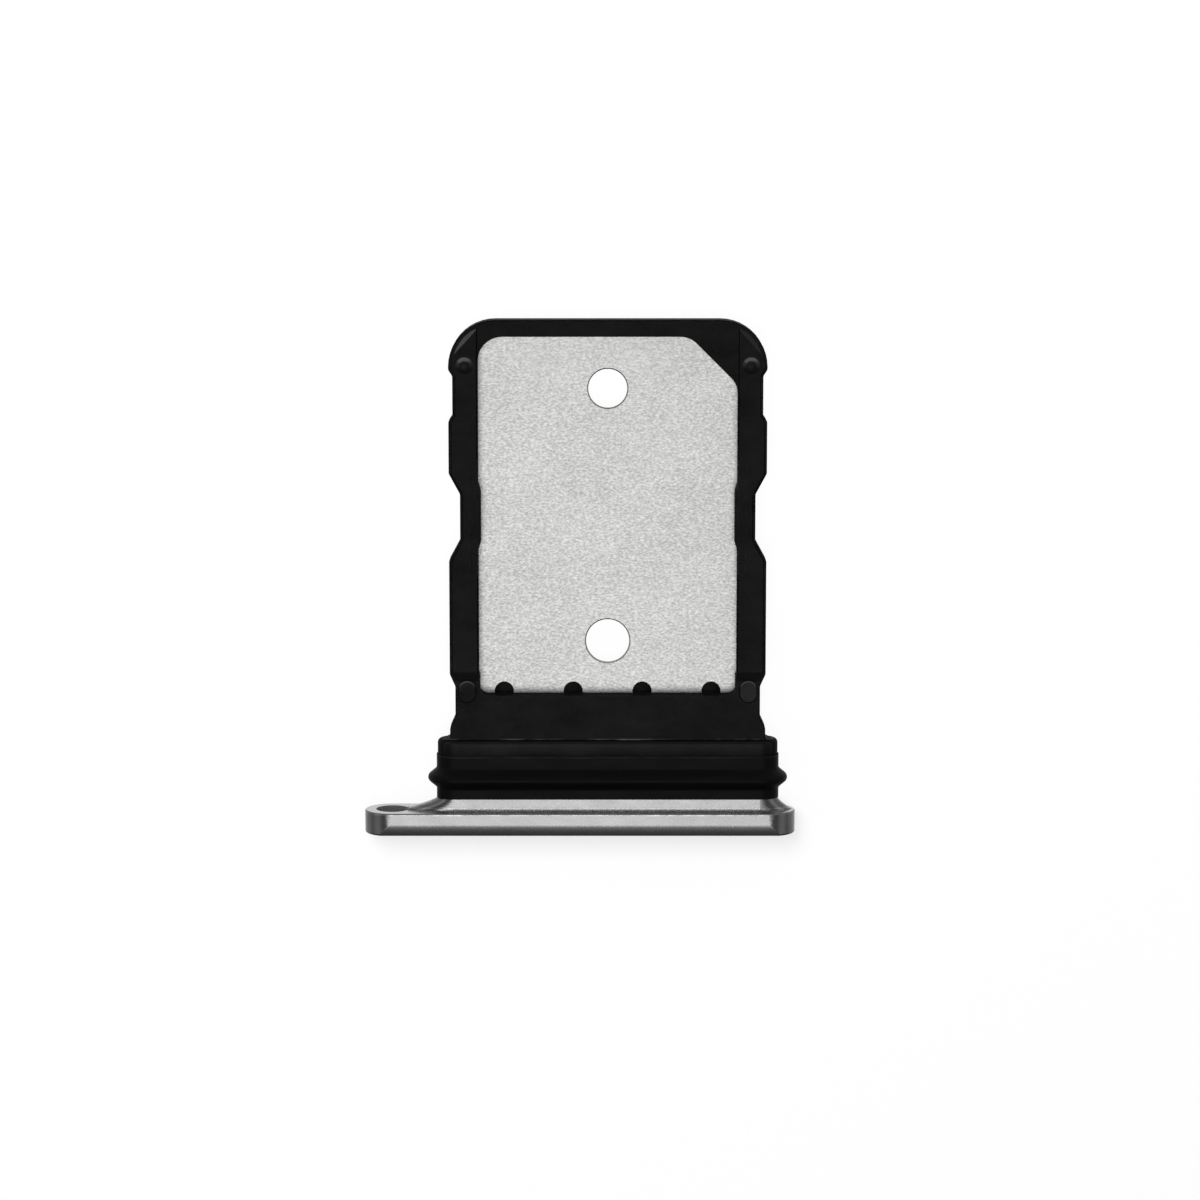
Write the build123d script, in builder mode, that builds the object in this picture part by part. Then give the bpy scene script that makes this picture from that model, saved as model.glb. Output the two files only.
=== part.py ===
from build123d import *
from math import asin, cos, degrees, radians, sin, tan
import os

# Tray for one nano card, lying flat with its pocket up.
# X runs along the bar, Y is the way the tray slides in, Z points up.
# The origin is under the middle of the tray, level with the lower side of the bar.

# The card, and the pocket around it
card_width = 8.8
card_length = 12.3
card_corner_cut = 1.65
card_clearance = 0.05
pocket_tip_radius = 0.86
pocket_cut_rounding = 0.8
pocket_root_radius = 0.33

# The moulded frame in plan
rail_width = 1.0
tip_rail_width = 0.57
tip_corner_radius = 1.6
root_length = 1.54
root_embed = 0.2
root_flare = 0.11
side_rounding = 0.18

# Dips in the sides of the frame: the waist at the root, the spring notch and the shallow grip near the tip
waist_flat = 1.05
waist_ramp = 0.42
waist_depth = 0.19
waist_setback = 0.2
spring_flat = 1.6
spring_ramp = 0.71
spring_depth = 0.385
grip_flat = 1.35
grip_ramp = 0.21
grip_depth = 0.14
ear_length = 0.1

# Heights of the frame, from its underside up
frame_drop = 0.52
floor_skin = 0.15
plate_thickness = 0.15
wall_height = 0.66
runner_rise = 0.08
frame_edge_chamfer = 0.05

# Raised runners on the side rails
runner_ledge = 0.07
runner_bevel = 0.05
runner_end_gap = 0.5
runner_ramp = 0.33
relief_length = 3.95
relief_width = 0.28
relief_depth = 0.05
relief_rounding = 0.2

# Tip corners of the runners: stepped in from the outline, with a flat bevel that leads into the slot
corner_ledge = 0.14
lead_reach = 1.32
lead_turn = 42.5
lead_slope = 28.0
lead_span = 0.4

# Lips and heels that hold the card, buttons and bumps that ride in the slot, and the moulding's gate mark
lip_flat = 1.73
lip_ramp = 0.31
lip_reach = 0.09
lip_height = 0.6
heel_length = 0.58
heel_ramp = 0.08
heel_reach = 0.04
heel_setback = 0.1
tip_button_radius = 0.3
tip_button_height = 0.12
tip_button_dish_radius = 0.14
tip_button_dish_depth = 0.04
tip_button_setback = 1.54
tip_button_outset = 0.44
root_bump_width = 0.63
root_bump_length = 0.78
root_bump_height = 0.13
root_bump_heel = 0.05
root_bump_setback = 0.15
root_bump_outset = 0.4
root_bump_chamfer = 0.04
gate_radius = 0.1
gate_depth = 0.04
gate_inset_x = 0.85
gate_inset_y = 0.5

# Steel plate, its holes, and the locks that the frame moulds through it
plate_grip = 0.3
plate_tail = 0.9
plate_corner_radius = 1.2
plate_tail_radius = 0.3
plate_hole_inset = 1.82
tip_hole_diameter = 1.34
root_hole_diameter = 1.5
hole_rim_chamfer = 0.04
lock_count = 4
lock_pitch = 2.39
lock_radius = 0.33
lock_inset = 0.06
lock_crown = 0.04
window_reach = 0.1
window_radius = 0.7

# Collar, core and seal
collar_height = 0.55
collar_rounding = 0.16
seal_overhang = 0.485
seal_depth = 1.24
seal_height = 1.53
seal_wall = 0.26
seal_proud = 0.04
seal_rim_chamfer = 0.05
seal_foot_rounding = 0.12
bead_rise = 0.3
bead_tip_radius = 0.19
bead_slope = 50.0
bead_middle = 0.7

# Face bar with its neck, tongue and eject hole
bar_depth = 1.85
bar_thickness = 0.8
bar_hole_overhang = 2.2
bar_far_overhang = 0.275
bar_shoulder_rise = 0.4
bar_shoulder_inset = 0.1
bar_shoulder_crease = 4.0
bar_face_rounding = 0.06
bar_rim_chamfer = 0.03
eject_hole_diameter = 1.15
eject_hole_inset = 0.955
neck_height = 0.44
neck_depth = 1.0
neck_setback = 0.03
neck_flat_setback = 0.66
neck_flare_power = 1.5
neck_hole_toe = 0.2
neck_end_gap = 0.1
neck_levels = 7
tongue_length = 2.45
tongue_width = 9.4
tongue_thickness = 0.28
key_count = 3
key_pitch = 3.0
key_length = 1.6
key_width = 0.7

# Widths that follow from the card
pocket_width = card_width + 2 * card_clearance
pocket_length = card_length + 2 * card_clearance
frame_half = pocket_width / 2 + rail_width
seal_length = 2 * (frame_half + seal_overhang)
neck_half = seal_length / 2 - neck_setback
neck_flat_half = seal_length / 2 - neck_flat_setback
bar_length = seal_length + 2 * bead_rise + bar_hole_overhang + bar_far_overhang
tray_x = (bar_hole_overhang - bar_far_overhang) / 2

# Places along the tray, from the bar's outer face to the tip
shaft_length = bar_thickness + neck_height + seal_height + collar_height
overall_length = shaft_length + root_length + pocket_length + tip_rail_width
bar_outer_y = -overall_length / 2
bar_inner_y = bar_outer_y + bar_thickness
seal_base_y = bar_inner_y + neck_height
collar_y = seal_base_y + seal_height
root_y = collar_y + collar_height
pocket_root_y = root_y + root_length
pocket_tip_y = pocket_root_y + pocket_length
pocket_middle_y = (pocket_root_y + pocket_tip_y) / 2
tip_y = pocket_tip_y + tip_rail_width
corner_x = frame_half - tip_corner_radius
corner_y = tip_y - tip_corner_radius

# Heights above the surface that the bar lies on
middle_z = bar_depth / 2
frame_bottom_z = middle_z - frame_drop
plate_bottom_z = frame_bottom_z + floor_skin
plate_top_z = plate_bottom_z + plate_thickness
base_top_z = plate_top_z + wall_height
runner_top_z = base_top_z + runner_rise


def level(z):
    """Flat plane at a height, centred on the tray's own axis."""
    return Plane(origin=(tray_x, 0, z))


def across(x, y):
    """Plane square to the tray's axis at a point of the bar's middle, facing the tip."""
    return Plane(origin=(x, y, middle_z), x_dir=(1, 0, 0), z_dir=(0, 1, 0))


def side_dip(edge, middle, flat, ramp, depth):
    """Corners of one dip in the frame's right side, from the bar towards the tip."""
    return [
        (edge, middle - flat / 2 - ramp),
        (edge - depth, middle - flat / 2),
        (edge - depth, middle + flat / 2),
        (edge, middle + flat / 2 + ramp),
    ]


def frame_outline(inset):
    """Lines of the frame's outline, with a flared foot and three dips a side, a little in from its edge."""
    edge = frame_half - inset
    grip_middle_y = corner_y - ear_length - grip_ramp - grip_flat / 2
    foot_x = edge + root_flare
    Polyline((0, root_y - root_embed), (foot_x, root_y - root_embed), (foot_x, root_y))
    CenterArc((foot_x, root_y + root_flare), root_flare, 180, 90)
    FilletPolyline(
        (edge, root_y + root_flare),
        *side_dip(edge, pocket_root_y - waist_setback, waist_flat, waist_ramp, waist_depth),
        *side_dip(edge, pocket_middle_y, spring_flat, spring_ramp, spring_depth),
        *side_dip(edge, grip_middle_y, grip_flat, grip_ramp, grip_depth),
        (edge, corner_y),
        radius=side_rounding,
    )
    CenterArc((corner_x, corner_y), tip_corner_radius - inset, 0, 90)
    Line((corner_x, tip_y - inset), (0, tip_y - inset))
    mirror(about=Plane.YZ)


def dome(base_radius, height, mode=Mode.ADD):
    """Spherical button that stands on the current place, or sinks from it when subtracted."""
    sphere_radius = (base_radius**2 + height**2) / (2 * height)
    base_angle = degrees(asin(1 - height / sphere_radius))
    foot = Align.MAX if mode == Mode.SUBTRACT else Align.MIN
    turn = (180, 0, 0) if mode == Mode.SUBTRACT else (0, 0, 0)
    Sphere(
        sphere_radius,
        arc_size1=base_angle,
        rotation=turn,
        align=(Align.CENTER, Align.CENTER, foot),
        mode=mode,
    )


# Tongue: the flat tail of the bar, with key holes for the moulding
with BuildPart() as tongue:
    with BuildSketch(across(tray_x, seal_base_y)):
        Rectangle(tongue_width, tongue_thickness)
    extrude(amount=tongue_length)
    with BuildSketch(level(middle_z)):
        with Locations((0, seal_base_y + tongue_length / 2)):
            with GridLocations(key_pitch, 0, key_count, 1):
                SlotOverall(key_length, key_width)
    extrude(amount=tongue_thickness, both=True, mode=Mode.SUBTRACT)


# Face bar: round-ended bar with a curved shoulder along each long side, a flared neck, the tongue and the eject hole
eject_x = -bar_length / 2 + eject_hole_inset
hole_side_toe = eject_x + neck_hole_toe
far_side_toe = bar_length / 2 - neck_end_gap
hole_side_flare = tray_x - neck_half - hole_side_toe
far_side_flare = far_side_toe - (tray_x + neck_half)
neck_cap = neck_half - neck_flat_half
shoulder_side = (bar_outer_y + bar_shoulder_rise, bar_depth / 2)
shoulder_face = (bar_outer_y, bar_depth / 2 - bar_shoulder_inset)
shoulder_way = (-cos(radians(bar_shoulder_crease)), -sin(radians(bar_shoulder_crease)))

with BuildPart() as face_bar:
    with BuildSketch(across(0, bar_outer_y)):
        SlotOverall(bar_length, bar_depth)
    extrude(amount=bar_thickness)
    chamfer(face_bar.faces().sort_by(Axis.Y)[-1].edges(), length=bar_rim_chamfer)
    with BuildSketch(Plane(origin=(0, 0, middle_z), x_dir=(0, 1, 0), z_dir=(1, 0, 0))):
        with BuildLine():
            TangentArc(shoulder_side, shoulder_face, tangent=shoulder_way)
            Polyline(shoulder_face, (bar_outer_y, bar_depth / 2), shoulder_side)
        make_face()
        mirror(about=Plane.XZ)
    extrude(amount=bar_length / 2, both=True, mode=Mode.SUBTRACT)
    fillet(face_bar.faces().sort_by(Axis.Y)[0].edges(), radius=bar_face_rounding)
    for step in range(neck_levels):
        rise = step / (neck_levels - 1)
        flare = (1 - rise) ** neck_flare_power
        far_cap = neck_cap + flare * far_side_flare
        hole_cap = neck_cap + flare * hole_side_flare
        with BuildSketch(across(tray_x, bar_inner_y + rise * neck_height)):
            with BuildLine():
                Line((-neck_flat_half, neck_depth / 2), (neck_flat_half, neck_depth / 2))
                EllipticalCenterArc((neck_flat_half, 0), far_cap, neck_depth / 2, start_angle=-90, arc_size=180)
                Line((neck_flat_half, -neck_depth / 2), (-neck_flat_half, -neck_depth / 2))
                EllipticalCenterArc((-neck_flat_half, 0), hole_cap, neck_depth / 2, start_angle=90, arc_size=180)
            make_face()
    loft(ruled=True)
    add(tongue.part)
    with Locations(across(eject_x, bar_inner_y)):
        Hole(eject_hole_diameter / 2)
face_bar.part.label = "face_bar"


# Seal ring: one section, turned round both ends and run straight along both sides
seal_top_z = middle_z + seal_depth / 2
core_radius = seal_depth / 2 - seal_wall
seal_end_x = seal_length / 2 - seal_depth / 2
bead_peak = bead_rise + bead_tip_radius * (1 / cos(radians(bead_slope)) - 1)
bead_foot = bead_peak / tan(radians(bead_slope))

with BuildPart() as seal_ring:
    with BuildSketch(Plane.YZ.offset(tray_x + seal_end_x)) as seal_section:
        with BuildLine():
            FilletPolyline(
                (seal_base_y, seal_top_z),
                (seal_base_y + bead_middle - bead_foot, seal_top_z),
                (seal_base_y + bead_middle, seal_top_z + bead_peak),
                (seal_base_y + bead_middle + bead_foot, seal_top_z),
                (collar_y, seal_top_z),
                radius=[seal_foot_rounding, bead_tip_radius, seal_foot_rounding],
            )
            Polyline(
                (collar_y, seal_top_z),
                (collar_y, middle_z + core_radius),
                (seal_base_y, middle_z + core_radius),
                (seal_base_y, seal_top_z),
            )
        make_face()
        rims = seal_section.vertices().group_by(Axis.Y)
        chamfer(rims[0].sort_by(Axis.Z)[-1], length=seal_rim_chamfer)
        chamfer(rims[-1].sort_by(Axis.Z)[-1], length=seal_rim_chamfer)
    extrude(seal_section.sketch, amount=-2 * seal_end_x)
    mirror(about=Plane.XY.offset(middle_z))
    end_axis = Axis((tray_x + seal_end_x, 0, middle_z), (0, 1, 0))
    seal_end = revolve(seal_section.sketch, axis=end_axis, revolution_arc=180)
    mirror(seal_end, about=Plane.YZ.offset(tray_x))
seal_ring.part.label = "seal_ring"


# Floor plate: thin steel sheet whose edges and tail are held in the moulding
with BuildPart() as floor_plate:
    with BuildSketch(level(plate_bottom_z)) as plate_plan:
        with Locations((0, pocket_root_y - plate_tail)):
            Rectangle(
                pocket_width + 2 * plate_grip,
                plate_tail + pocket_length + plate_grip,
                align=(Align.CENTER, Align.MIN),
            )
        fillet(plate_plan.vertices().group_by(Axis.Y)[-1], radius=plate_corner_radius)
        fillet(plate_plan.vertices().group_by(Axis.Y)[0], radius=plate_tail_radius)
    extrude(amount=plate_thickness)
    plate_room = floor_plate.part
    with Locations((tray_x, pocket_tip_y - plate_hole_inset, plate_top_z)):
        Hole(tip_hole_diameter / 2)
    with Locations((tray_x, pocket_root_y + plate_hole_inset, plate_top_z)):
        Hole(root_hole_diameter / 2)
    hole_rims = floor_plate.faces().sort_by(Axis.Z)[-1].inner_wires().edges()
    chamfer(hole_rims, length=hole_rim_chamfer)
    with Locations((tray_x, pocket_root_y + lock_inset, plate_top_z)):
        with GridLocations(lock_pitch, 0, lock_count, 1):
            Hole(lock_radius)
floor_plate.part.label = "floor_plate"


# Frame slab: the frame's outline, with broken edges above and below
with BuildPart() as frame_slab:
    with BuildSketch(level(frame_bottom_z)):
        with BuildLine():
            frame_outline(0)
        make_face()
    extrude(amount=base_top_z - frame_bottom_z)
    chamfer(frame_slab.faces().sort_by(Axis.Z)[-1].edges(), length=frame_edge_chamfer)
    chamfer(frame_slab.faces().sort_by(Axis.Z)[0].edges(), length=frame_edge_chamfer)


# Runners: the raised side rails, with a ramp at the root end and a stepped, bevelled corner at the tip
runner_start_y = pocket_root_y + runner_end_gap
lead_way_x = cos(radians(lead_turn))
lead_way_y = sin(radians(lead_turn))
lead_drop = lead_span * tan(radians(lead_slope))

with BuildPart() as runners:
    with BuildSketch(level(base_top_z)):
        with BuildLine():
            frame_outline(runner_ledge)
        make_face()
        with Locations((pocket_width / 2, runner_start_y)):
            Rectangle(rail_width, tip_y - runner_start_y, align=Align.MIN, mode=Mode.INTERSECT)
        mirror(about=Plane.YZ)
    extrude(amount=runner_rise)
    chamfer(runners.faces().group_by(Axis.Z)[-1].edges(), length=runner_bevel)
    with BuildSketch(Plane.YZ.offset(tray_x)):
        with BuildLine():
            Polyline(
                (runner_start_y, base_top_z),
                (runner_start_y, runner_top_z),
                (runner_start_y + runner_ramp, runner_top_z),
                close=True,
            )
        make_face()
    extrude(amount=frame_half, both=True, mode=Mode.SUBTRACT)
    with BuildSketch(level(base_top_z)):
        with Locations((corner_x, corner_y)):
            Rectangle(tip_corner_radius, tip_corner_radius, align=Align.MIN)
            Circle(tip_corner_radius - corner_ledge, mode=Mode.SUBTRACT)
        mirror(about=Plane.YZ)
    extrude(amount=runner_rise, mode=Mode.SUBTRACT)
    for side in (-1, 1):
        lead_origin = (
            tray_x + side * (corner_x + lead_reach * lead_way_x),
            corner_y + lead_reach * lead_way_y,
            runner_top_z,
        )
        lead_plane = Plane(
            origin=lead_origin,
            x_dir=(side * lead_way_x, lead_way_y, 0),
            z_dir=(lead_way_y, -side * lead_way_x, 0),
        )
        with BuildSketch(lead_plane):
            with BuildLine():
                Polyline((0, 0), (lead_span, 0), (lead_span, -lead_drop), close=True)
            make_face()
        extrude(amount=tip_corner_radius, both=True, mode=Mode.SUBTRACT)
    with BuildSketch(level(runner_top_z)) as relief_plan:
        with Locations((pocket_width / 2, pocket_middle_y)):
            Rectangle(relief_width, relief_length, align=(Align.MIN, Align.CENTER))
        fillet(relief_plan.vertices().group_by(Axis.X)[-1], radius=relief_rounding)
        mirror(about=Plane.YZ)
    extrude(amount=-relief_depth, mode=Mode.SUBTRACT)


# Root bumps: round-ended pads whose tops slope down towards the pocket
root_bump_x = pocket_width / 2 + root_bump_outset
root_bump_y = pocket_root_y + root_bump_setback

with BuildPart() as root_bumps:
    with BuildSketch(level(base_top_z)):
        with Locations((0, root_bump_y)):
            with GridLocations(2 * root_bump_x, 0, 2, 1):
                SlotOverall(root_bump_length, root_bump_width, rotation=90)
    extrude(amount=root_bump_height)
    with BuildSketch(across(tray_x, root_bump_y)):
        with BuildLine():
            Polyline(
                (root_bump_x + root_bump_width / 2, base_top_z + root_bump_height - middle_z),
                (root_bump_x - root_bump_width / 2, base_top_z + root_bump_height - middle_z),
                (root_bump_x - root_bump_width / 2, base_top_z + root_bump_heel - middle_z),
                close=True,
            )
        make_face()
        mirror(about=Plane.YZ)
    extrude(amount=root_bump_length, both=True, mode=Mode.SUBTRACT)
    chamfer(root_bumps.faces().group_by(Axis.Z)[-1].edges(), length=root_bump_chamfer)


# Tray frame: collar, core, slab and runners as one moulding, with the pocket and what stands in it
tip_button_x = pocket_width / 2 + tip_button_outset

with BuildPart() as tray_frame:
    with BuildSketch(across(tray_x, collar_y)):
        SlotOverall(seal_length - 2 * seal_proud, seal_depth - 2 * seal_proud)
    extrude(amount=collar_height)
    fillet(tray_frame.faces().sort_by(Axis.Y)[-1].edges(), radius=collar_rounding)
    with BuildSketch(across(tray_x, seal_base_y)):
        SlotOverall(2 * (seal_end_x + core_radius), 2 * core_radius)
    extrude(amount=seal_height)
    add(frame_slab.part)
    add(runners.part)
    add(root_bumps.part)
    add(tongue.part, mode=Mode.SUBTRACT)

    with BuildSketch(level(plate_top_z)) as pocket_plan:
        with Locations((0, pocket_middle_y)):
            Rectangle(pocket_width, pocket_length)
        fillet(pocket_plan.vertices().group_by(Axis.Y)[0], radius=pocket_root_radius)
        fillet(pocket_plan.vertices().group_by(Axis.Y)[-1].sort_by(Axis.X)[0], radius=pocket_tip_radius)
        chamfer(pocket_plan.vertices().group_by(Axis.Y)[-1].sort_by(Axis.X)[-1], length=card_corner_cut)
        fillet(pocket_plan.vertices().group_by(Axis.Y)[-1].sort_by(Axis.X)[-1], radius=pocket_cut_rounding)
        cut_foot = pocket_plan.vertices().group_by(Axis.X)[-1].sort_by(Axis.Y)[-1]
        fillet(cut_foot, radius=pocket_cut_rounding)
    extrude(amount=runner_top_z - plate_top_z, mode=Mode.SUBTRACT)
    with BuildSketch(level(frame_bottom_z)):
        with Locations((0, pocket_middle_y)):
            RectangleRounded(
                pocket_width + 2 * window_reach,
                pocket_length + 2 * window_reach,
                window_radius,
            )
    extrude(amount=floor_skin, mode=Mode.SUBTRACT)
    add(plate_room, mode=Mode.SUBTRACT)

    with BuildSketch(level(plate_top_z)):
        with BuildLine():
            Polyline(
                (pocket_width / 2, pocket_middle_y - lip_flat / 2 - lip_ramp),
                (pocket_width / 2 - lip_reach, pocket_middle_y - lip_flat / 2),
                (pocket_width / 2 - lip_reach, pocket_middle_y + lip_flat / 2),
                (pocket_width / 2, pocket_middle_y + lip_flat / 2 + lip_ramp),
                close=True,
            )
        make_face()
        mirror(about=Plane.YZ)
    extrude(amount=lip_height)
    with BuildSketch(level(plate_top_z)):
        with BuildLine():
            Polyline(
                (pocket_width / 2, pocket_root_y + heel_setback),
                (pocket_width / 2 - heel_reach, pocket_root_y + heel_setback),
                (pocket_width / 2 - heel_reach, pocket_root_y + heel_setback + heel_length),
                (pocket_width / 2, pocket_root_y + heel_setback + heel_length + heel_ramp),
                close=True,
            )
        make_face()
        mirror(about=Plane.YZ)
    extrude(amount=wall_height)

    with Locations((tray_x, pocket_root_y + lock_inset, plate_bottom_z)):
        with GridLocations(lock_pitch, 0, lock_count, 1):
            Cylinder(lock_radius, plate_thickness, align=(Align.CENTER, Align.CENTER, Align.MIN))
    with Locations((tray_x, pocket_root_y + lock_inset, plate_top_z)):
        with GridLocations(lock_pitch, 0, lock_count, 1):
            dome(lock_radius, lock_crown)
    with Locations((tray_x, tip_y - tip_button_setback, runner_top_z)):
        with GridLocations(2 * tip_button_x, 0, 2, 1):
            dome(tip_button_radius, tip_button_height)
    with Locations((tray_x, tip_y - tip_button_setback, runner_top_z + tip_button_height)):
        with GridLocations(2 * tip_button_x, 0, 2, 1):
            dome(tip_button_dish_radius, tip_button_dish_depth, mode=Mode.SUBTRACT)
    gate_x = tray_x + pocket_width / 2 - gate_inset_x
    with Locations((gate_x, pocket_tip_y - gate_inset_y, base_top_z)):
        Hole(gate_radius, depth=gate_depth)
tray_frame.part.label = "tray_frame"


os.makedirs("parts", exist_ok=True)
export_step(face_bar.part, "parts/face_bar.step")
export_step(seal_ring.part, "parts/seal_ring.step")
export_step(floor_plate.part, "parts/floor_plate.step")
export_step(tray_frame.part, "parts/tray_frame.step")
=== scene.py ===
from math import cos, pi, radians, sin

import bpy
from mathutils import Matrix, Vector


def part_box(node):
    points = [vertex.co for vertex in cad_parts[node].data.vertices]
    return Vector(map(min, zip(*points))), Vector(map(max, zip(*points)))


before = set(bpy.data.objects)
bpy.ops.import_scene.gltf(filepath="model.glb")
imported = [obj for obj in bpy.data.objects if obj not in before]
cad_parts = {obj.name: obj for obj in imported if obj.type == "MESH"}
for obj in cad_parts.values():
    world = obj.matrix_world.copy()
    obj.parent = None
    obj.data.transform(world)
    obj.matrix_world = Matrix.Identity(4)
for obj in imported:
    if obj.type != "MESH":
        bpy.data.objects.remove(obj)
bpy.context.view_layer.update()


# Face bar: one machined piece of aluminium that closes the slot in the side of the phone.
# Its outer face is bead-blasted dull, its other sides are milled smooth, and it is anodised dark grey; its
# inner face and the inside of the eject hole are painted paler as painted light.
# Its tongue is moulded into the frame, and handling has left bright nicks along its edges. A thin bright
# dashed line along the foot of the neck is a painted highlight, and one along the inner rim is partly edge
# wear and partly painted highlight.
METRES_TO_MM = 1000.0
NODES_A_ROW = 8
NODE_CELL = (220, 320)
NOISE_ROUGHNESS = 0.6
NOISE_MIDDLE = 0.5
NOISE_RANGE = (0.3, 0.7)
GRAIN_DETAIL = 4.0
MOTTLE_DETAIL = 3.0
PATCH_FULL = 0.75

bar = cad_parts["face_bar"]
bar_low, bar_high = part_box("face_bar")
bar_outer_mm = bar_low.y * METRES_TO_MM
bar_thickness_mm = 0.8
bar_inner_mm = bar_outer_mm + bar_thickness_mm
anodised_dark = (0.128, 0.128, 0.130, 1)
anodised_pale = (0.188, 0.188, 0.189, 1)
nick_and_highlight_grey = (0.46, 0.46, 0.45, 1)
# Painted light: faces that look towards the tip are painted a paler grey, so the inner face reads as lit.
inner_face_painted_light = (0.50, 0.50, 0.50, 1)
inner_from = 0.90
inner_full = 0.97
blast_grain_mm = (0.05, 0.05, 0.05)
blast_mottle_mm = (0.9, 0.5, 0.5)
blast_bump = 0.35
blast_depth_m = 0.000004
blasted_skin_mm = 0.02
blasted_roughness = 0.46
milled_roughness = 0.26
grain_roughness = 0.04
dull_metallic = 0.3
# Painted light inside the eject hole: a paler, less metallic grey for the light that reaches its walls.
hole_place_mm = (-6.5175, 0.0, 0.925)
hole_radius_mm = 0.575
hole_edge_mm = 0.02
hole_painted_light = (0.30, 0.30, 0.30, 1)
across_hole = (1.0, 0.0, 1.0)
edge_mask_radius_m = 0.00003
edge_mask_samples = 6
edge_mask_match_off = 0.995
edge_mask_match_full = 0.90
nick_patch_mm = (0.35, 0.12, 0.12)
nick_cover = 0.50
edge_rounding_m = 0.00003
edge_samples = 8
# Painted highlight lines: one along the foot of the neck, one along the inner rim (there partly edge wear).
foot_highlight_line_mm = 0.085
foot_half_width_mm = 0.05
foot_wave_mm = 0.03
foot_cover = 0.20
foot_dash_mm = (0.12, 0.5, 0.5)
rim_highlight_line_mm = -0.05
rim_half_width_mm = 0.035
rim_wave_mm = 0.02
rim_cover = 0.38
rim_dash_mm = (0.3, 0.5, 0.5)
highlight_line_brightness = 0.62


def node(tree, kind, **settings):
    """One shader node with its settings, in the next free cell of the tree's layout."""
    row, column = divmod(len(tree.nodes), NODES_A_ROW)
    made = tree.nodes.new(kind)
    made.location = (column * NODE_CELL[0], -row * NODE_CELL[1])
    for name, value in settings.items():
        setattr(made, name, value)
    return made


def empty_group(name, inputs, outputs):
    """A shader node group with its named sockets, and its two end nodes."""
    tree = bpy.data.node_groups.new(name, "ShaderNodeTree")
    for label, kind, value in inputs:
        socket = tree.interface.new_socket(name=label, in_out="INPUT", socket_type=kind)
        socket.default_value = value
    for label in outputs:
        tree.interface.new_socket(name=label, in_out="OUTPUT", socket_type="NodeSocketFloat")
    return tree, node(tree, "NodeGroupInput"), node(tree, "NodeGroupOutput")


def axes(tree, vector):
    """The X, Y and Z of a vector."""
    split = node(tree, "ShaderNodeSeparateXYZ")
    tree.links.new(vector, split.inputs[0])
    return split.outputs


def place_mm(tree):
    """The point on the piece, in millimetres of the shared frame."""
    place = node(tree, "ShaderNodeTexCoord")
    scaled = node(tree, "ShaderNodeVectorMath", operation="SCALE")
    scaled.inputs["Scale"].default_value = METRES_TO_MM
    tree.links.new(place.outputs["Object"], scaled.inputs[0])
    return scaled.outputs["Vector"]


def face_lean(tree):
    """How a face lies: the X, Y and Z of its true normal."""
    facing = node(tree, "ShaderNodeNewGeometry")
    return axes(tree, facing.outputs["True Normal"])


def noise_in_cells(tree, place, size, detail):
    """Noise over a place, with the size of its cells from a socket."""
    cells = node(tree, "ShaderNodeVectorMath", operation="DIVIDE")
    noise = node(tree, "ShaderNodeTexNoise")
    noise.inputs["Scale"].default_value = 1.0
    noise.inputs["Detail"].default_value = detail
    noise.inputs["Roughness"].default_value = NOISE_ROUGHNESS
    tree.links.new(place, cells.inputs[0])
    tree.links.new(size, cells.inputs[1])
    tree.links.new(cells.outputs["Vector"], noise.inputs["Vector"])
    return noise.outputs["Fac"]


def combine(tree, operation, first, second=0.0, use_clamp=False):
    """An operation on two values, each a socket or a number."""
    made = node(tree, "ShaderNodeMath", operation=operation, use_clamp=use_clamp)
    for socket, value in zip(made.inputs, (first, second)):
        if isinstance(value, float):
            socket.default_value = value
        else:
            tree.links.new(value, socket)
    return made.outputs["Value"]


def remap(tree, value, from_low, from_high, to_low, to_high):
    """A value moved from one range to another and held inside it; an end may be a socket."""
    made = node(tree, "ShaderNodeMapRange")
    tree.links.new(value, made.inputs["Value"])
    ends = (("From Min", from_low), ("From Max", from_high), ("To Min", to_low), ("To Max", to_high))
    for label, end in ends:
        if isinstance(end, float):
            made.inputs[label].default_value = end
        else:
            tree.links.new(end, made.inputs[label])
    return made.outputs["Result"]


def mask(tree, value, off_at, full_at):
    """A mask that rises from 0 to 1 while a value goes from one limit to the other."""
    return remap(tree, value, off_at, full_at, 0.0, 1.0)


def grain_group():
    """Two noises on the piece: a fine grain and a broad mottle, each with its cell size in millimetres."""
    tree, given, out = empty_group(
        "surface_grain",
        [
            ("Grain Size", "NodeSocketVector", (0.05, 0.05, 0.05)),
            ("Mottle Size", "NodeSocketVector", (1.0, 1.0, 1.0)),
        ],
        ["Grain", "Mottle"],
    )
    place = place_mm(tree)
    grain = noise_in_cells(tree, place, given.outputs["Grain Size"], GRAIN_DETAIL)
    mottle = noise_in_cells(tree, place, given.outputs["Mottle Size"], MOTTLE_DETAIL)
    tree.links.new(grain, out.inputs["Grain"])
    tree.links.new(mottle, out.inputs["Mottle"])
    return tree


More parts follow.
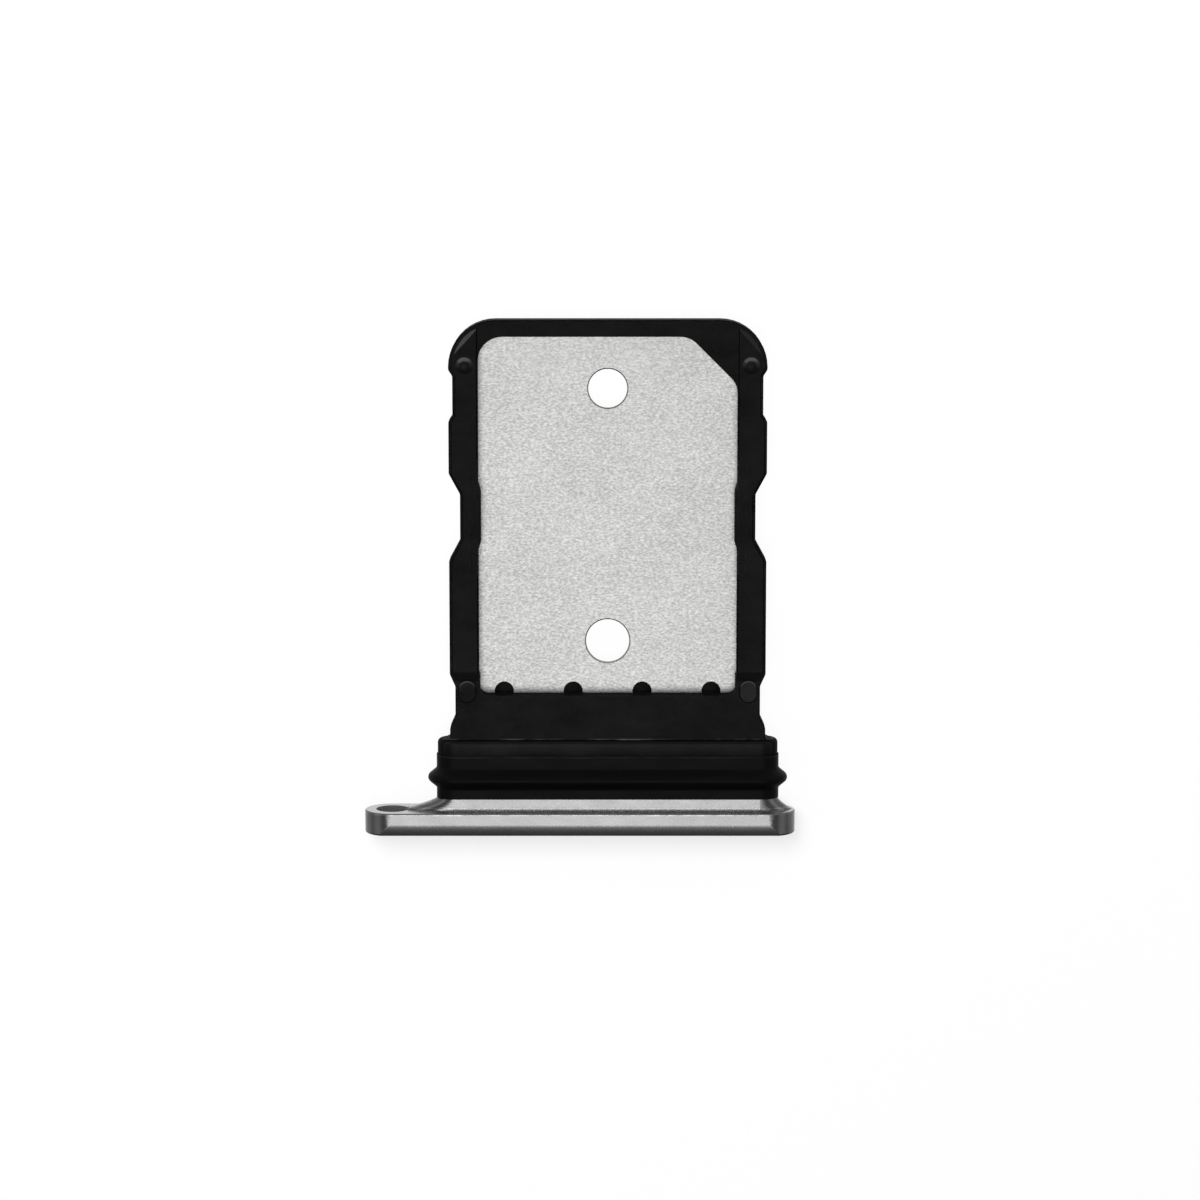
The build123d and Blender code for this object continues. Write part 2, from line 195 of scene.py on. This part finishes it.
def edge_group():
    """Masks of a piece's sharp edges, whole and in patches: where a rounded normal leaves the true one."""
    tree, given, out = empty_group(
        "edge_patches",
        [
            ("Patch Size", "NodeSocketVector", (0.2, 0.2, 0.2)),
            ("Cover", "NodeSocketFloat", 0.5),
        ],
        ["Edge", "Patches"],
    )
    rounded = node(tree, "ShaderNodeBevel", samples=edge_mask_samples)
    rounded.inputs["Radius"].default_value = edge_mask_radius_m
    true = node(tree, "ShaderNodeNewGeometry")
    match = node(tree, "ShaderNodeVectorMath", operation="DOT_PRODUCT")
    tree.links.new(rounded.outputs["Normal"], match.inputs[0])
    tree.links.new(true.outputs["Normal"], match.inputs[1])
    edge = mask(tree, match.outputs["Value"], edge_mask_match_off, edge_mask_match_full)
    noise = noise_in_cells(tree, place_mm(tree), given.outputs["Patch Size"], MOTTLE_DETAIL)
    patch = mask(tree, noise, given.outputs["Cover"], PATCH_FULL)
    tree.links.new(edge, out.inputs["Edge"])
    tree.links.new(combine(tree, "MULTIPLY", edge, patch), out.inputs["Patches"])
    return tree


def seam_group():
    """Mask of a thin line across a piece at one place along it, waving and broken into dashes."""
    tree, given, out = empty_group(
        "seam_line",
        [
            ("Place", "NodeSocketFloat", 0.0),
            ("Half Width", "NodeSocketFloat", 0.02),
            ("Wave", "NodeSocketFloat", 0.02),
            ("Cover", "NodeSocketFloat", 0.5),
            ("Dash Size", "NodeSocketVector", (0.3, 1.0, 1.0)),
        ],
        ["Line"],
    )
    place = place_mm(tree)
    noise = noise_in_cells(tree, place, given.outputs["Dash Size"], MOTTLE_DETAIL)
    centred = combine(tree, "SUBTRACT", noise, NOISE_MIDDLE)
    swing = combine(tree, "MULTIPLY", centred, given.outputs["Wave"])
    waved = combine(tree, "ADD", axes(tree, place)["Y"], swing)
    off = combine(tree, "ABSOLUTE", combine(tree, "SUBTRACT", waved, given.outputs["Place"]))
    band = remap(tree, off, 0.0, given.outputs["Half Width"], 1.0, 0.0)
    dash = mask(tree, noise, given.outputs["Cover"], PATCH_FULL)
    tree.links.new(combine(tree, "MULTIPLY", band, dash), out.inputs["Line"])
    return tree


surface_grain = grain_group()
edge_patches = edge_group()
seam_line = seam_group()


def new_material(name):
    """An empty node material with its shader and output."""
    material = bpy.data.materials.new(name)
    material.use_nodes = True
    tree = material.node_tree
    tree.nodes.clear()
    shader = node(tree, "ShaderNodeBsdfPrincipled")
    output = node(tree, "ShaderNodeOutputMaterial")
    tree.links.new(shader.outputs["BSDF"], output.inputs["Surface"])
    return material, tree, shader


def place_group(tree, group, **values):
    """The outputs of a shared group placed in a material with its own values."""
    placed = node(tree, "ShaderNodeGroup", node_tree=group)
    for label, value in values.items():
        placed.inputs[label.replace("_", " ")].default_value = value
    return placed.outputs


def blend_colour(tree, fac, first, second):
    """A colour mix whose ends are colours or sockets."""
    mix = node(tree, "ShaderNodeMix", data_type="RGBA")
    tree.links.new(fac, mix.inputs["Factor"])
    for socket, value in ((mix.inputs[6], first), (mix.inputs[7], second)):
        if isinstance(value, tuple):
            socket.default_value = value
        else:
            tree.links.new(value, socket)
    return mix.outputs[2]


def bump(tree, height, strength, depth_m, normal=None):
    """A normal bumped by a height, over the piece's own normal or a given one."""
    made = node(tree, "ShaderNodeBump")
    made.inputs["Strength"].default_value = strength
    made.inputs["Distance"].default_value = depth_m
    tree.links.new(height, made.inputs["Height"])
    if normal is not None:
        tree.links.new(normal, made.inputs["Normal"])
    return made.outputs["Normal"]


anodised, tree, shader = new_material("anodised_bar")
grain = place_group(tree, surface_grain, Grain_Size=blast_grain_mm, Mottle_Size=blast_mottle_mm)
edge_marks = place_group(tree, edge_patches, Patch_Size=nick_patch_mm, Cover=nick_cover)
# Painted highlight: a thin bright dashed line along the foot of the neck, where a small fillet would catch
# the light.
foot_highlight_line = place_group(
    tree,
    seam_line,
    Place=bar_inner_mm + foot_highlight_line_mm,
    Half_Width=foot_half_width_mm,
    Wave=foot_wave_mm,
    Cover=foot_cover,
    Dash_Size=foot_dash_mm,
)
# Partly edge wear, partly painted highlight: a thin bright dashed line along the inner rim.
rim_highlight_line = place_group(
    tree,
    seam_line,
    Place=bar_inner_mm + rim_highlight_line_mm,
    Half_Width=rim_half_width_mm,
    Wave=rim_wave_mm,
    Cover=rim_cover,
    Dash_Size=rim_dash_mm,
)
place = place_mm(tree)
along_y = axes(tree, place)["Y"]

level_with_hole = node(tree, "ShaderNodeVectorMath", operation="MULTIPLY")
level_with_hole.inputs[1].default_value = across_hole
from_hole = node(tree, "ShaderNodeVectorMath", operation="DISTANCE")
from_hole.inputs[1].default_value = hole_place_mm
tree.links.new(place, level_with_hole.inputs[0])
tree.links.new(level_with_hole.outputs["Vector"], from_hole.inputs[0])
in_hole = mask(tree, from_hole.outputs["Value"], hole_radius_mm + hole_edge_mm, hole_radius_mm)
on_inner = mask(tree, face_lean(tree)["Y"], inner_from, inner_full)

# The painted highlight lines and the real nicks both lighten the grey towards the nick and highlight grey.
highlight_lines = combine(tree, "MAXIMUM", foot_highlight_line["Line"], rim_highlight_line["Line"])
highlight_lines = combine(tree, "MULTIPLY", highlight_lines, highlight_line_brightness)
bright = combine(tree, "MAXIMUM", highlight_lines, edge_marks["Patches"])
grey = blend_colour(tree, grain["Mottle"], anodised_dark, anodised_pale)
nicked_and_highlit = blend_colour(tree, bright, grey, nick_and_highlight_grey)
# Painted light: the inside of the eject hole is painted paler grey.
with_hole_light = blend_colour(tree, in_hole, nicked_and_highlit, hole_painted_light)
# Painted light on the inner face: pale grey where the face looks towards the tip.
colour = blend_colour(tree, on_inner, with_hole_light, inner_face_painted_light)

skin_end_mm = bar_outer_mm + blasted_skin_mm
satin = remap(tree, along_y, bar_outer_mm, skin_end_mm, blasted_roughness, milled_roughness)
fine = remap(tree, grain["Grain"], *NOISE_RANGE, -grain_roughness, grain_roughness)
hole_metal = remap(tree, in_hole, 0.0, 1.0, 1.0, dull_metallic)
face_metal = remap(tree, along_y, bar_outer_mm, skin_end_mm, dull_metallic, 1.0)
rounded = node(tree, "ShaderNodeBevel", samples=edge_samples)
rounded.inputs["Radius"].default_value = edge_rounding_m
blasted = bump(tree, grain["Grain"], blast_bump, blast_depth_m, rounded.outputs["Normal"])
tree.links.new(colour, shader.inputs["Base Color"])
tree.links.new(combine(tree, "MINIMUM", hole_metal, face_metal), shader.inputs["Metallic"])
tree.links.new(combine(tree, "ADD", satin, fine), shader.inputs["Roughness"])
tree.links.new(blasted, shader.inputs["Normal"])
bar.material_slots[0].material = anodised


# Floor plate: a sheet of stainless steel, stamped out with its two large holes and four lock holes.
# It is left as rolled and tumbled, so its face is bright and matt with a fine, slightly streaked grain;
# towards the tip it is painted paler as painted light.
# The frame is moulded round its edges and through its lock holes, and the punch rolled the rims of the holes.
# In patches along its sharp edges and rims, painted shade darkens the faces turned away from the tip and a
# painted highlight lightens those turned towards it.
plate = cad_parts["floor_plate"]
steel_dark = (0.29, 0.29, 0.286, 1)
steel_pale = (0.44, 0.44, 0.435, 1)
rolled_grain_mm = (0.105, 0.06, 0.06)
rolled_mottle_mm = (2.2, 1.4, 1.4)
rolled_roughness = (0.47, 0.39)
rolled_bump = 0.4
rolled_depth_m = 0.000006
speck_range = (0.25, 0.75)
cloud_depth = 0.12
# Painted light: the plate's face grows paler towards the tip.
tip_pale_from_mm = 1.0
tip_pale_to_mm = 8.0
tip_painted_light = 0.16
# Painted shade and painted highlight on the plate's edges and hole rims, chosen by which way each face turns.
rim_painted_shade = (0.03, 0.03, 0.03, 1)
rim_painted_highlight = (0.60, 0.60, 0.60, 1)
rim_painted_highlight_from = -0.1
rim_painted_highlight_full = 0.5
rim_patch_mm = (0.4, 0.4, 0.4)
plate_rim_cover = 0.2

rolled, tree, shader = new_material("steel_plate")
grain = place_group(tree, surface_grain, Grain_Size=rolled_grain_mm, Mottle_Size=rolled_mottle_mm)
rim = place_group(tree, edge_patches, Patch_Size=rim_patch_mm, Cover=plate_rim_cover)
speck = mask(tree, grain["Grain"], *speck_range)
cloud = remap(tree, grain["Mottle"], *NOISE_RANGE, -cloud_depth, cloud_depth)
along_y = axes(tree, place_mm(tree))["Y"]
# Painted light: paler towards the tip.
painted_light_to_tip = remap(tree, along_y, tip_pale_from_mm, tip_pale_to_mm, 0.0, tip_painted_light)
tone = combine(tree, "ADD", speck, cloud)
tone = combine(tree, "ADD", tone, painted_light_to_tip, use_clamp=True)
face = blend_colour(tree, tone, steel_dark, steel_pale)
# Painted light: rims facing the tip are painted pale, rims facing away are painted dark.
rim_light_side = mask(tree, face_lean(tree)["Y"], rim_painted_highlight_from, rim_painted_highlight_full)
rim_painted_light = blend_colour(tree, rim_light_side, rim_painted_shade, rim_painted_highlight)
colour = blend_colour(tree, rim["Patches"], face, rim_painted_light)
rough = remap(tree, grain["Grain"], *NOISE_RANGE, *rolled_roughness)
tree.links.new(colour, shader.inputs["Base Color"])
tree.links.new(rough, shader.inputs["Roughness"])
tree.links.new(bump(tree, grain["Grain"], rolled_bump, rolled_depth_m), shader.inputs["Normal"])
shader.inputs["Metallic"].default_value = 1.0
plate.material_slots[0].material = rolled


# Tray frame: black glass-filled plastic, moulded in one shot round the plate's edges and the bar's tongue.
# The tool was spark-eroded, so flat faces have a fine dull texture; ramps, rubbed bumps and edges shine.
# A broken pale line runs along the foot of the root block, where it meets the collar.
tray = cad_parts["tray_frame"]
moulded_dark = (0.0024, 0.0024, 0.0024, 1)
moulded_pale = (0.0048, 0.0048, 0.0048, 1)
eroded_grain_mm = (0.06, 0.06, 0.06)
eroded_mottle_mm = (1.3, 0.9, 0.9)
eroded_roughness = (0.40, 0.52)
eroded_gloss = (0.045, 0.075)
eroded_bump = 0.35
eroded_depth_m = 0.000005
# Partly edge wear, partly painted highlight: the frame's edges are painted a lighter grey in patches.
rubbed_edge_highlight = (0.035, 0.035, 0.035, 1)
rubbed_patch_mm = (0.25, 0.25, 0.25)
rubbed_cover = 0.40
pale_line_grey = (0.15, 0.15, 0.15, 1)
pale_line_place_mm = -5.58
pale_line_half_width_mm = 0.03
pale_line_wave_mm = 0.04
pale_line_cover = 0.44
pale_line_dash_mm = (1.1, 1.0, 1.0)
# Painted light: steep walls below the frame's top are painted a paler grey than the flat faces.
wall_painted_light = (0.010, 0.010, 0.010, 1)
wall_from = 0.70
wall_full = 0.60
wall_fade_mm = 0.04
base_top_mm = 1.365
collar_from_mm = -6.145
collar_crest_mm = -5.76
collar_fade_mm = 0.06
collar_gloss = (-0.02, 0.06)
root_from_mm = -5.60
root_fade_mm = 0.1
ramp_from = 0.97
ramp_full = 0.94
ramp_end_from = 0.74
ramp_end_full = 0.78
steep_below = 0.70
steep_above = 0.76
steep_gloss = 0.08
high_spot_mm = 1.455
high_fade_mm = 0.03
# Painted highlight: a pale grey crescent on the tip-facing slopes of the raised bumps and buttons.
crest_painted_highlight = (0.10, 0.10, 0.10, 1)
crest_highlight_from = 0.2
crest_highlight_full = 0.5
bump_rubbed_from = 0.44
bump_rubbed_full = 0.60
bump_rubbed_most = 0.25
polish_gloss = 0.22
polish_smoothing = 0.14

moulded, tree, shader = new_material("moulded_frame")
grain = place_group(tree, surface_grain, Grain_Size=eroded_grain_mm, Mottle_Size=eroded_mottle_mm)
edge_marks = place_group(tree, edge_patches, Patch_Size=rubbed_patch_mm, Cover=rubbed_cover)
pale_line = place_group(
    tree,
    seam_line,
    Place=pale_line_place_mm,
    Half_Width=pale_line_half_width_mm,
    Wave=pale_line_wave_mm,
    Cover=pale_line_cover,
    Dash_Size=pale_line_dash_mm,
)
spot = axes(tree, place_mm(tree))
lean = face_lean(tree)

# Painted light on the walls: a paler grey where faces are steep and below the top.
below_top = mask(tree, spot["Z"], base_top_mm, base_top_mm - wall_fade_mm)
lit_wall = combine(tree, "MULTIPLY", mask(tree, lean["Z"], wall_from, wall_full), below_top)
past_root = mask(tree, spot["Y"], root_from_mm, root_from_mm + root_fade_mm)
not_flat = mask(tree, lean["Z"], ramp_from, ramp_full)
ramp = combine(tree, "MULTIPLY", not_flat, mask(tree, lean["Z"], ramp_end_from, ramp_end_full))
ramp = combine(tree, "MULTIPLY", past_root, ramp)
high = mask(tree, spot["Z"], high_spot_mm, high_spot_mm + high_fade_mm)
high = combine(tree, "MULTIPLY", high, past_root)
# Painted highlight on raised slopes that face the tip.
crest_highlight = combine(tree, "MULTIPLY", high, not_flat)
crest_highlight = combine(tree, "MULTIPLY", crest_highlight, mask(tree, lean["Y"], crest_highlight_from, crest_highlight_full))
rubbed = remap(tree, grain["Mottle"], bump_rubbed_from, bump_rubbed_full, 0.0, bump_rubbed_most)
polished = combine(tree, "MAXIMUM", ramp, combine(tree, "MULTIPLY", high, rubbed))

black = blend_colour(tree, grain["Mottle"], moulded_dark, moulded_pale)
black = blend_colour(tree, lit_wall, black, wall_painted_light)
# Partly edge wear, partly painted highlight along the frame's edges.
rubbed_and_highlit = blend_colour(tree, edge_marks["Patches"], black, rubbed_edge_highlight)
with_pale_line = blend_colour(tree, pale_line["Line"], rubbed_and_highlit, pale_line_grey)
# Painted highlight: the crescents on the raised bumps and buttons.
colour = blend_colour(tree, crest_highlight, with_pale_line, crest_painted_highlight)

rough = remap(tree, grain["Grain"], *NOISE_RANGE, *eroded_roughness)
rough = combine(tree, "SUBTRACT", rough, combine(tree, "MULTIPLY", polished, polish_smoothing))
on_collar = mask(tree, spot["Y"], root_from_mm, root_from_mm - collar_fade_mm)
collar = remap(tree, spot["Y"], collar_from_mm, collar_crest_mm, *collar_gloss)
gloss = remap(tree, grain["Mottle"], *NOISE_RANGE, *eroded_gloss)
gloss = combine(tree, "ADD", gloss, combine(tree, "MULTIPLY", on_collar, collar))
gloss = combine(tree, "ADD", gloss, combine(tree, "MULTIPLY", polished, polish_gloss))
gloss = combine(tree, "MULTIPLY", gloss, remap(tree, lean["Z"], steep_below, steep_above, steep_gloss, 1.0))
tree.links.new(colour, shader.inputs["Base Color"])
tree.links.new(rough, shader.inputs["Roughness"])
tree.links.new(gloss, shader.inputs["Specular IOR Level"])
tree.links.new(bump(tree, grain["Grain"], eroded_bump, eroded_depth_m), shader.inputs["Normal"])
tray.material_slots[0].material = moulded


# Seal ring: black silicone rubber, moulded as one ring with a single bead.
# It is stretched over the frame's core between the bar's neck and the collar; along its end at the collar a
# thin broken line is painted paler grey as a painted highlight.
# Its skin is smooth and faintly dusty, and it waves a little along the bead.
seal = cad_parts["seal_ring"]
seal_low, seal_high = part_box("seal_ring")
silicone_dark = (0.0020, 0.0020, 0.0020, 1)
silicone_dusty = (0.0050, 0.0050, 0.0050, 1)
skin_grain_mm = (0.09, 0.09, 0.09)
skin_wave_mm = (1.6, 0.5, 0.5)
skin_roughness = (0.42, 0.54)
skin_gloss = 0.05
skin_bump = 0.2
skin_depth_m = 0.000004
# Painted highlight: a thin broken pale line along the seal's end at the collar.
curl_highlight_grey = (0.030, 0.030, 0.030, 1)
curl_setback_mm = 0.05
curl_half_width_mm = 0.03
curl_wave_mm = 0.06
curl_cover = 0.30
curl_dash_mm = (0.9, 1.0, 1.0)

silicone, tree, shader = new_material("silicone_seal")
grain = place_group(tree, surface_grain, Grain_Size=skin_grain_mm, Mottle_Size=skin_wave_mm)
curl_highlight = place_group(
    tree,
    seam_line,
    Place=seal_high.y * METRES_TO_MM - curl_setback_mm,
    Half_Width=curl_half_width_mm,
    Wave=curl_wave_mm,
    Cover=curl_cover,
    Dash_Size=curl_dash_mm,
)
skin = blend_colour(tree, grain["Mottle"], silicone_dark, silicone_dusty)
# Painted highlight along the seal's end at the collar.
colour = blend_colour(tree, curl_highlight["Line"], skin, curl_highlight_grey)
rough = remap(tree, grain["Mottle"], *NOISE_RANGE, *skin_roughness)
tree.links.new(colour, shader.inputs["Base Color"])
tree.links.new(rough, shader.inputs["Roughness"])
tree.links.new(bump(tree, grain["Grain"], skin_bump, skin_depth_m), shader.inputs["Normal"])
shader.inputs["Specular IOR Level"].default_value = skin_gloss
seal.material_slots[0].material = silicone


# Studio: a plain white table top that glows a little, so that its shadows stay pale, in a softly lit room.
# A soft box hangs above, and small lamps light the frame's corners, the bar and the table top on their own.
# The camera looks down on the card pocket, leaning a few degrees towards the tip.
floor_side_m = 2.0
floor_white = (0.10, 0.10, 0.10, 1)
floor_roughness = 0.9
floor_glow = 0.754
glow_white = (1, 1, 1, 1)
backdrop_grey = (0.80, 0.80, 0.80, 1)
room_heights = ((0.0, 0.95), (0.25, 0.65), (0.46, 0.50), (0.5, 0.07), (0.6, 0.10), (1.0, 0.20))
new_stop_at = 0.5
horizon_fade = 0.05
bar_side_from = -0.35
bar_side_full = -0.75
bar_side_shade = 0.9
sides_up_to = 0.75
sides_full_below = 0.55
sides_from = -0.4
sides_full = -0.1
sides_extra = 6.0
lamp_distance_m = 0.30
camera_distance_m = 0.130
camera_lean_deg = 8.48
camera_lens_mm = 113.0
camera_sensor_mm = 36.0
camera_clip_m = 0.01
camera_aim_m = Vector((0.000697, -0.000776, 0.000925))

bpy.ops.object.select_all(action="DESELECT")
bpy.ops.mesh.primitive_plane_add(size=floor_side_m, location=(0, 0, 0))
floor = bpy.context.object
floor.name = "floor"
floor.visible_glossy = False
table, tree, shader = new_material("table_top")
shader.inputs["Base Color"].default_value = floor_white
shader.inputs["Roughness"].default_value = floor_roughness
shader.inputs["Specular IOR Level"].default_value = 0.0
shader.inputs["Emission Color"].default_value = glow_white
shader.inputs["Emission Strength"].default_value = floor_glow
floor.data.materials.append(table)

scene = bpy.context.scene
world = bpy.data.worlds.new("room")
scene.world = world
world.use_nodes = True
tree = world.node_tree
background = tree.nodes["Background"]
way = axes(tree, node(tree, "ShaderNodeTexCoord").outputs["Generated"])
seen = node(tree, "ShaderNodeLightPath").outputs["Is Camera Ray"]
ramp = node(tree, "ShaderNodeValToRGB")
stops = ramp.color_ramp.elements
while len(stops) < len(room_heights):
    stops.new(new_stop_at)
for stop, (at, grey_level) in zip(stops, room_heights):
    stop.position = at
    stop.color = (grey_level, grey_level, grey_level, 1)
tree.links.new(mask(tree, way["Z"], -1.0, 1.0), ramp.inputs["Fac"])
room_colour = blend_colour(tree, seen, ramp.outputs["Color"], backdrop_grey)

below = mask(tree, way["Z"], 0.0, -horizon_fade)
to_bar = remap(tree, way["Y"], bar_side_from, bar_side_full, 0.0, bar_side_shade)
shade = combine(tree, "MULTIPLY", below, to_bar)
above = mask(tree, way["Z"], 0.0, horizon_fade)
low_band = combine(tree, "MULTIPLY", above, mask(tree, way["Z"], sides_up_to, sides_full_below))
off_bar = remap(tree, way["Y"], sides_from, sides_full, 0.0, sides_extra)
sides = combine(tree, "MULTIPLY", low_band, off_bar)
level = combine(tree, "ADD", combine(tree, "SUBTRACT", 1.0, shade), sides)
room_strength = remap(tree, seen, 0.0, 1.0, level, 1.0)
tree.links.new(room_colour, background.inputs["Color"])
tree.links.new(room_strength, background.inputs["Strength"])


def soft_lamp(name, side_m, radiance, right_deg, tip_deg):
    """A square soft lamp that hangs over the tray, leaning some degrees to the right and towards the tip."""
    bpy.ops.object.light_add(type="AREA")
    lamp = bpy.context.object
    lamp.name = name
    lamp.data.shape = "SQUARE"
    lamp.data.size = side_m
    lamp.data.energy = radiance * pi * side_m**2
    lamp_way = Vector((sin(radians(right_deg)), sin(radians(tip_deg)), 0))
    lamp_way.z = (1 - lamp_way.x**2 - lamp_way.y**2) ** 0.5
    lamp.location = camera_aim_m + lamp_distance_m * lamp_way
    lamp.rotation_euler = lamp_way.to_track_quat("Z", "Y").to_euler()
    lamp.visible_camera = False
    return lamp


soft_lamp("soft_box", side_m=0.15, radiance=4.2, right_deg=-3.0, tip_deg=-10.0)
corner_lamp = soft_lamp("corner_lamp", side_m=0.09, radiance=3.4, right_deg=-40.8, tip_deg=29.1)
bar_lamp = soft_lamp("bar_lamp", side_m=0.10, radiance=0.5, right_deg=0.0, tip_deg=-32.0)
table_lamp = soft_lamp("table_lamp", side_m=0.133, radiance=36.0, right_deg=-12.0, tip_deg=22.0)
for lamp, piece in ((corner_lamp, tray), (bar_lamp, bar), (table_lamp, floor)):
    lit = bpy.data.collections.new(lamp.name + "_lights")
    lit.objects.link(piece)
    lamp.light_linking.receiver_collection = lit
shading = bpy.data.collections.new("table_lamp_shaded_by")
shading.objects.link(bar)
table_lamp.light_linking.blocker_collection = shading

bpy.ops.object.camera_add()
camera = bpy.context.object
camera.data.lens = camera_lens_mm
camera.data.sensor_width = camera_sensor_mm
camera.data.clip_start = camera_clip_m
tilt = radians(camera_lean_deg)
camera.location = camera_aim_m + camera_distance_m * Vector((0, sin(tilt), cos(tilt)))
camera.rotation_euler = (-tilt, 0, 0)
scene.camera = camera
scene.view_settings.view_transform = "Standard"
scene.view_settings.look = "None"
